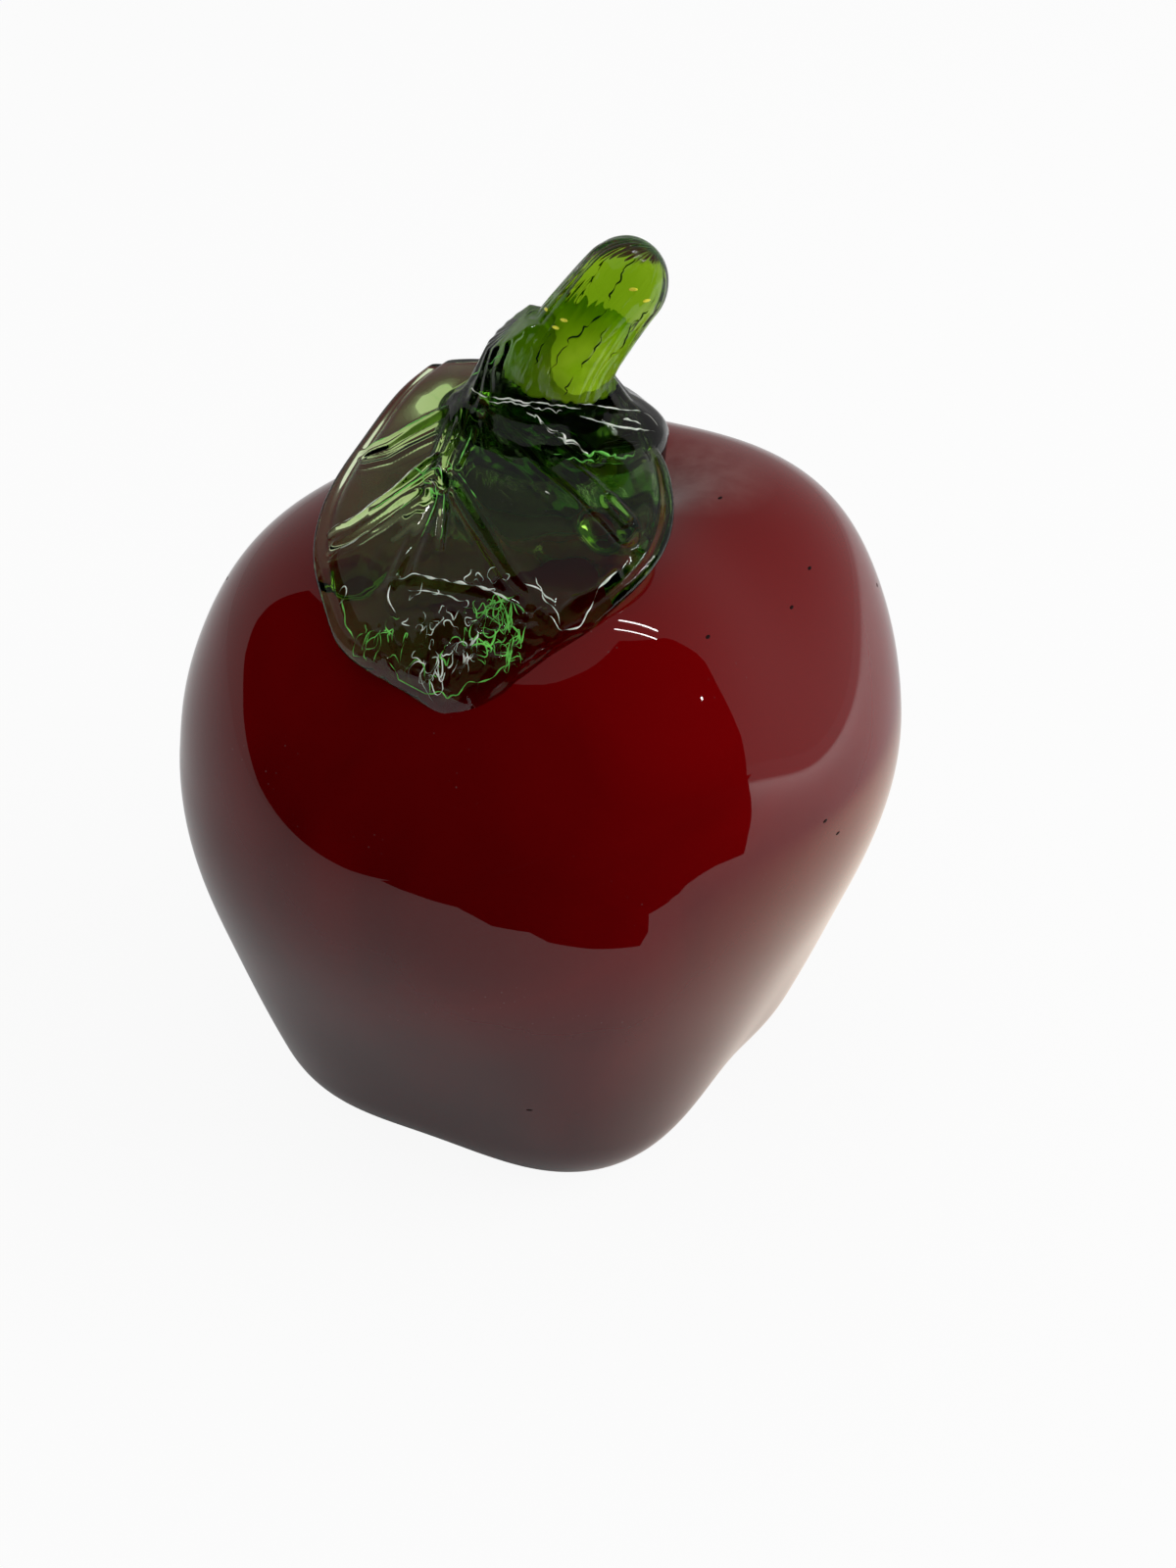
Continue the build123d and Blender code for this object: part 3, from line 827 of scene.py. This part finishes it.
class APPLE_OT_press_leaf(bpy.types.Operator):
    """Presses the leaf, with its veins, its thick rim and its crumpled tip"""

    bl_idname = "apple.press_leaf"
    bl_label = "Press the leaf"

    def execute(self, context):
        sizes = top()
        back, length = leaf_box[1].y, leaf_box[1].y - leaf_box[0].y
        shape, turn, share = ball(360, 266)
        turn = finer_above(turn)
        # The ball's first and last rings make the rounded ends
        end, rounding = 0.035, 0.012
        quarter = np.minimum(np.clip(share / end, 0, 1), np.clip((1 - share) / end, 0, 1)) * pi / 2
        inner = np.clip((share - end) / (1 - 2 * end), 0, 1)
        past_end = (share > 1 - end).astype(float) - (share < end)
        along = rounding + (1 - 2 * rounding) * inner + rounding * past_end * np.cos(quarter)
        closing = np.sin(quarter)
        left, right, drop, thick, tilt = table_at(LEAF_SHARES, along)
        middle = sizes.leaf_half_width * (left + right) / 2
        half = sizes.leaf_half_width * (right - left) / 2
        cross = way(np.cos(turn), 1 - 2 * np.arccos(np.cos(turn)) / pi, 0.6)
        rounded = (1 - np.abs(cross) ** 2.8) ** (1 / 2.8)
        x = middle + half * cross * closing
        y = back - length * along
        level = apple().height + LEAF_ROOT_HEIGHT - sizes.leaf_drop * drop + tilt * x
        level = level + sizes.leaf_cup * (1 - cross ** 2)
        over = np.sin(turn) > 0
        swell = sizes.leaf_thickness * thick / 2 * rounded * closing
        inside = np.clip((1 - np.abs(cross)) / 0.08, 0, 1) * closing
        places = np.stack([x, y, level], axis=1)
        pressed = self.pressed_lines(x, y, back, length)
        rim_place, rim_width = 0.0016, 0.0006
        from_edge = (1 - np.abs(cross)) * half
        rim = -0.8 * sizes.relief_height * np.exp(-((from_edge - rim_place) / rim_width) ** 2)
        tip = np.clip((along - 0.83) / 0.05, 0, 1)
        creases = 1 - 2 * np.abs(waves(places, 0.0026, 4.0))
        crumple = tip * (0.00055 * creases + 0.0004 * waves(places, 0.0011, 6.0))
        ripple = 0.00012 * waves(places, 0.004, 1.0)
        above = swell + (pressed + rim + crumple + ripple) * inside
        under = -swell + (0.6 * crumple - 1.5 * ripple - 0.35 * pressed) * inside
        z = level + np.where(over, above, under)
        self.lay_down(x, z, along, over, places)
        put(shape, np.stack([x - sizes.leaf_shift, y, z], axis=1))
        glass = bpy.data.materials["leaf_green_glass"]
        finished_piece(shape, "pressed_leaf", glass, "green_glass", "leaf")
        return {"FINISHED"}

    def pressed_lines(self, x, y, back, length):
        """How high the pressed lines stand at each place. A groove has a low bank along each side."""
        sizes = top()
        pressed = np.zeros_like(x)
        for width, height, points in LEAF_LINES:
            line = [(across * sizes.leaf_half_width, back - length * along) for across, along in points]
            far = distance_to_line(x, y, line) / (width * sizes.relief_width)
            pressed += height * sizes.relief_height * np.exp(-far ** 2)
            if height < 0:
                pressed -= 0.45 * height * sizes.relief_height * np.exp(-((far - 1.7) / 0.7) ** 2)
        return pressed

    def lay_down(self, x, z, along, over, places):
        """Draws the underside down to the body where the leaf lies on it."""
        sizes = top()
        body = surface("cased_body")
        for across, down, wide, deep in CONTACTS:
            far = np.abs(x / sizes.leaf_half_width - across) / wide
            far = np.hypot(far, (along - down) / deep) + 0.25 * waves(places, 0.0025, 11.0)
            lies = np.where(over, 0, np.exp(-np.clip(far, 0, 3) ** 4))
            for i in np.nonzero(lies > 0.02)[0]:
                z[i] = way(z[i], drop_on(body, x[i] - sizes.leaf_shift, places[i, 1]).z - 0.0001, lies[i])


class APPLE_OT_lay_air_and_glints(bpy.types.Operator):
    """Lays the threads of trapped air in the leaf, painted bright as glints, the painted highlights on the
    collar, the folds and painted glints in the stem and the seeds in the body
    """

    bl_idname = "apple.trap_air"
    bl_label = "Trap the air"

    def execute(self, context):
        glint_fills = {"white": [], "green": []}
        leaf = surface("pressed_leaf")
        for fill, radius, wobble, points in AIR_GLINT_THREADS + self.loops():
            line = self.leaf_line(leaf, points, wobble / 1000)
            # A loop that hangs over the leaf's edge may leave too little to make a thread of
            if len(line) > 6:
                glint_fills[fill].append(thread(line, radius / 1000))
        # Painted highlights and glints on the collar, laid as threads
        collar = surface("wrapped_collar")
        for fill, radius, wobble, points in COLLAR_GLINT_THREADS:
            glint_fills[fill].append(thread(self.laid_line(collar, points, wobble / 1000), radius / 1000))
        # Painted glints: the threads' bright white and green stand for light caught in the glass
        for fill, tone in (("white", (0.80, 0.92, 0.76)), ("green", (0.16, 0.62, 0.09))):
            material = plain_glass(f"{fill}_air", tone, 0.25)
            finished_piece(joined(glint_fills[fill]), f"{fill}_threads", material, "green_glass")
        stem, body = surface("drawn_stem"), surface("cased_body")
        folds = [thread(self.laid_line(stem, points, 0.0005), radius / 1000) for radius, points in STEM_FOLDS]
        # Painted glints: small yellow sparks on the stem
        glints = [self.seed(stem, place, (0.0005, 0.0002, 0.0001)) for place in STEM_GLINTS]
        seeds = [self.seed(body, place, (0.0004, 0.0002, 0.00004)) for place in SEEDS]
        dark_fold = plain_glass("dark_fold", (0.002, 0.02, 0.002), 0.4, gloss=0.1)
        painted_glint = plain_glass("painted_glint", (0.95, 0.85, 0.05), 0.2)
        dark_seed = plain_glass("dark_seed", (0.012, 0.002, 0.002), 0.6, gloss=0.1)
        finished_piece(joined(folds), "stem_folds", dark_fold, "lime_glass")
        finished_piece(joined(glints), "stem_glints", painted_glint, "lime_glass")
        finished_piece(joined(seeds), "seeds", dark_seed, "red_glass")
        return {"FINISHED"}

    def loops(self):
        """Wobbly open loops of painted glint, scattered over the leaf's crumpled tip."""
        pick = np.random.RandomState(4)
        loops = []
        for fill, count, across, along in GLINT_LOOPS:
            for _ in range(count):
                middle = np.array([pick.uniform(*across), pick.uniform(*along)])
                start, size = pick.uniform(0, 2 * pi), pick.uniform(0.0003, 0.0010)
                points = []
                for step in range(6):
                    turn = start + step * 0.7
                    reach = size * pick.uniform(0.5, 1.4)
                    out = (reach * cos(turn) / top().leaf_half_width, reach * sin(turn) / LEAF_LENGTH)
                    points.append(middle + out)
                loops.append((fill, pick.uniform(0.05, 0.12), 0.4, points))
        return loops

    def leaf_line(self, leaf, points, wobble):
        """A wobbly line through shares across and along the leaf, let fall on it."""
        sizes = top()
        back, front = leaf_box[1].y, leaf_box[0].y
        line = [
            (across * sizes.leaf_half_width - sizes.leaf_shift, way(back, front, along), 0)
            for across, along in points
        ]
        length = sum((Vector(b) - Vector(a)).length for a, b in zip(line, line[1:]))
        line = smooth_line(line, max(12, int(length / 0.00025)))
        line = line + wobble * np.stack([waves(line, 0.0014, seed) for seed in (1.0, 2.0, 3.0)], axis=1)
        laid = [drop_on(leaf, x, y) for x, y, _ in line]
        return [place for place in laid if place]

    def laid_line(self, tree, points, wobble):
        """A wobbly line through points in millimetres, moved onto the surface beside it."""
        line = smooth_line(np.array(points) / 1000, 90)
        line = line + wobble * np.stack([waves(line, 0.0008, seed) for seed in (1.0, 2.0, 3.0)], axis=1)
        return [tree.find_nearest(Vector(place))[0] for place in line]

    def seed(self, tree, place, size):
        """A small flat ball that lies in the surface nearest to a place in millimetres."""
        place, normal = tree.find_nearest(Vector(place) / 1000)[:2]
        shape, turn, share = ball(12, 8)
        facing = normal.to_track_quat("Z", "Y").to_matrix()
        put(shape, [place + facing @ Vector(np.array(vertex.co) * size) for vertex in shape.verts])
        return shape


# Studio


def light_path(tree, *names):
    """1 where a ray is of any of the named kinds."""
    path = add_node(tree, "ShaderNodeLightPath")
    total = path.outputs[names[0]]
    for name in names[1:]:
        total = maths(tree, "MAXIMUM", total, path.outputs[name])
    return total


def glow(tree, kind, level, tone=(1, 1, 1, 1)):
    """Light of a level, as a background or an emission."""
    return add_node(tree, kind, {"Color": tone, "Strength": level}).outputs[0]


def mixed_shader(tree, share, first, second):
    return add_node(tree, "ShaderNodeMixShader", {0: share, 1: first, 2: second})


def towards(turn, up):
    """The place a metre from the apple's shoulder, turned from the front towards +X and up, in degrees."""
    turn, up = radians(turn), radians(up)
    return SHOULDER_PLACE + Vector((sin(turn) * cos(up), -cos(turn) * cos(up), sin(up)))


def square(size, place=(0, 0, 0)):
    shape = bmesh.new()
    bmesh.ops.create_grid(shape, x_segments=1, y_segments=1, size=size)
    bmesh.ops.translate(shape, verts=shape.verts, vec=place)
    return shape


def mirror_only(name, shape, material):
    """A stage piece that nothing but a reflection shows."""
    piece = new_object(name, shape, material)
    piece.visible_camera = piece.visible_diffuse = piece.visible_transmission = piece.visible_shadow = False


class APPLE_OT_set_studio(bpy.types.Operator):
    """Sets the floor, the lamps, the pale room and the camera"""

    bl_idname = "apple.set_studio"
    bl_label = "Set the studio"

    def execute(self, context):
        scene = context.scene
        studio = scene.apple_studio
        self.make_world(scene, studio)
        self.make_floor()
        self.make_flags()
        self.make_warm_patch()
        self.make_lamps(scene)
        self.make_camera(scene, studio)
        scene.view_settings.view_transform = "Standard"
        return {"FINISHED"}

    def make_world(self, scene, studio):
        """A white backdrop, with a dimmer room that lights, that is mirrored and that shows through glass."""
        world = bpy.data.worlds.new("pale_room")
        scene.world = world
        world.use_nodes = True
        tree = world.node_tree
        tree.nodes.clear()
        split = add_node(
            tree, "ShaderNodeSeparateXYZ", {0: add_node(tree, "ShaderNodeTexCoord").outputs["Generated"]}
        )
        height = split.outputs["Z"]
        mirror = studio.mirror_level
        mirrored = mapped(tree, height, 0.0, 0.95, mirror * 1.1, mirror * 0.65)
        kind = "ShaderNodeBackground"
        room = glow(tree, kind, studio.sky_level)
        for ray, seen in (
            ("Is Glossy Ray", glow(tree, kind, mirrored, (1, 0.99, 0.98, 1))),
            ("Is Transmission Ray", glow(tree, kind, mapped(tree, height, 0.10, 0.55, 1.0, 0.45))),
            ("Is Camera Ray", glow(tree, kind, 1.0)),
        ):
            room = mixed_shader(tree, light_path(tree, ray), room, seen).outputs[0]
        add_node(tree, "ShaderNodeOutputWorld", {0: room})

    def make_floor(self):
        """A pale floor that keeps the apple's shadow faintly."""
        material, tree = new_material("pale_floor")
        white = maths(tree, "MULTIPLY", light_path(tree, "Is Camera Ray", "Is Transmission Ray"), 0.92)
        dull = add_node(tree, "ShaderNodeBsdfDiffuse", {"Color": (0.86, 0.86, 0.86, 1)})
        show(tree, mixed_shader(tree, white, dull.outputs[0], glow(tree, "ShaderNodeEmission", 1.0)))
        new_object("floor", square(3.0), material)

    def make_flags(self):
        """A dark screen and a dark mat that only mirror: the unlit side of the room, behind the camera."""
        material, tree = new_material("black_cloth")
        show(tree, add_node(tree, "ShaderNodeBsdfDiffuse", {"Color": (0.004, 0.004, 0.004, 1)}))
        screen = bmesh.new()
        bmesh.ops.create_grid(screen, x_segments=48, y_segments=32, size=1)
        places = np.array([v.co for v in screen.verts])
        rows = np.linspace(-1, 1, len(SCREEN_EDGES))
        up, left, right = (np.interp(places[:, 1], rows, column) for column in np.transpose(SCREEN_EDGES))
        turn = np.radians(way(left, right, (places[:, 0] + 1) / 2))
        up = np.radians(up)
        out = SCREEN_DISTANCE * np.cos(up)
        out = np.stack([out * np.sin(turn), -out * np.cos(turn), SCREEN_DISTANCE * np.sin(up)], axis=1)
        put(screen, SCREEN_MIDDLE + out)
        mat = bmesh.new()
        mat.faces.new([mat.verts.new((*place, MAT_HEIGHT)) for place in MAT_OUTLINE])
        mirror_only("dark_screen", screen, material)
        mirror_only("dark_mat", mat, material)

    def make_warm_patch(self):
        """Light that falls on the table to the right of the apple, and that only the apple's side mirrors."""
        material, tree = new_material("warm_light")
        away = distance_from(tree, object_places(tree), (*WARM_PLACE, 0.0))
        warm = glow(tree, "ShaderNodeEmission", 1.15, (1.0, 0.86, 0.74, 1))
        clear = add_node(tree, "ShaderNodeBsdfTransparent").outputs[0]
        show(tree, mixed_shader(tree, mapped(tree, away, 0.03, 0.09, 1.0, 0.0), clear, warm))
        mirror_only("warm_patch", square(0.1, (*WARM_PLACE, MAT_HEIGHT / 2)), material)

    def make_lamps(self, scene):
        """One soft lamp that lights, and strips that are only mirrored."""
        key = bpy.data.lights.new("soft_key", "AREA")
        key.shape = "RECTANGLE"
        key.size, key.size_y = 0.7, 0.5
        key.energy = 4.5
        lamp = bpy.data.objects.new("soft_key", key)
        lamp.location = (0.80, -0.05, 0.38)
        lamp.rotation_euler = (-Vector(lamp.location)).to_track_quat("-Z", "Y").to_euler()
        lamp.visible_glossy = False
        scene.collection.objects.link(lamp)
        material, tree = new_material("lamp_glow")
        show(tree, add_node(tree, "ShaderNodeEmission", {"Color": (1, 1, 1, 1), "Strength": 34.0}))
        for number, (first, last, width) in enumerate(LAMP_STRIPS):
            first, last = towards(*first), towards(*last)
            side = (last - first).cross(first).normalized() * width / 2
            strip = bmesh.new()
            corners = (first - side, last - side, last + side, first + side)
            strip.faces.new([strip.verts.new(corner) for corner in corners])
            mirror_only(f"lamp_strip_{number}", strip, material)

    def make_camera(self, scene, studio):
        data = bpy.data.cameras.new("camera")
        data.lens = studio.lens
        data.sensor_width = 36.0
        data.shift_x = 0.0270
        data.shift_y = 0.0026
        camera = bpy.data.objects.new("camera", data)
        ahead = Vector((0, cos(studio.elevation), -sin(studio.elevation)))
        camera.location = Vector((0, 0, studio.aim_height)) - ahead * studio.distance
        camera.rotation_mode = "QUATERNION"
        camera.rotation_quaternion = ahead.to_track_quat("-Z", "Y") @ Quaternion((0, 0, 1), studio.roll)
        scene.collection.objects.link(camera)
        scene.camera = camera


class APPLE_OT_mix_glass(bpy.types.Operator):
    """Mixes the green and lime glasses"""

    bl_idname = "apple.mix_glass"
    bl_label = "Mix the glasses"

    def execute(self, context):
        sizes = top()
        for name, lets_through, density, streak, streak_scale in (
            ("deep_green_glass", sizes.collar_green, 130.0, (0.7, 0.9, 0.7), 300.0),
            ("leaf_green_glass", sizes.leaf_green, 520.0, (0.8, 0.95, 0.8), 300.0),
            ("stem_lime_glass", sizes.stem_lime, 530.0, (0.8, 0.9, 0.4), 260.0),
        ):
            clear_glass(name, tuple(lets_through), density, streak, streak_scale)
        return {"FINISHED"}


class APPLE_PT_panel(bpy.types.Panel):
    """Lists the steps, and the sizes and colours that they use"""

    bl_idname = "APPLE_PT_panel"
    bl_label = "Glass Apple"
    bl_space_type = "VIEW_3D"
    bl_region_type = "UI"
    bl_category = "Glass Apple"

    def draw(self, context):
        for operator in OPERATORS:
            self.layout.operator(operator.bl_idname)
        for name, group in SETTINGS.items():
            for setting in group.__annotations__:
                self.layout.prop(getattr(context.scene, name), setting)


SETTINGS = {"apple_body": AppleBodySizes, "apple_top": AppleTopSizes, "apple_studio": AppleStudioSettings}
OPERATORS = [
    APPLE_OT_mix_glass,
    APPLE_OT_blow_body,
    APPLE_OT_close_neck,
    APPLE_OT_draw_stem,
    APPLE_OT_wrap_collar,
    APPLE_OT_press_leaf,
    APPLE_OT_lay_air_and_glints,
    APPLE_OT_set_studio,
]


def register():
    for name, group in SETTINGS.items():
        bpy.utils.register_class(group)
        setattr(bpy.types.Scene, name, PointerProperty(type=group))
    for operator in OPERATORS:
        bpy.utils.register_class(operator)
    bpy.utils.register_class(APPLE_PT_panel)


def unregister():
    bpy.utils.unregister_class(APPLE_PT_panel)
    for operator in reversed(OPERATORS):
        bpy.utils.unregister_class(operator)
    for name, group in SETTINGS.items():
        delattr(bpy.types.Scene, name)
        bpy.utils.unregister_class(group)


def main():
    register()
    for operator in OPERATORS:
        group, name = operator.bl_idname.split(".")
        getattr(getattr(bpy.ops, group), name)()


if __name__ == "__main__":
    main()
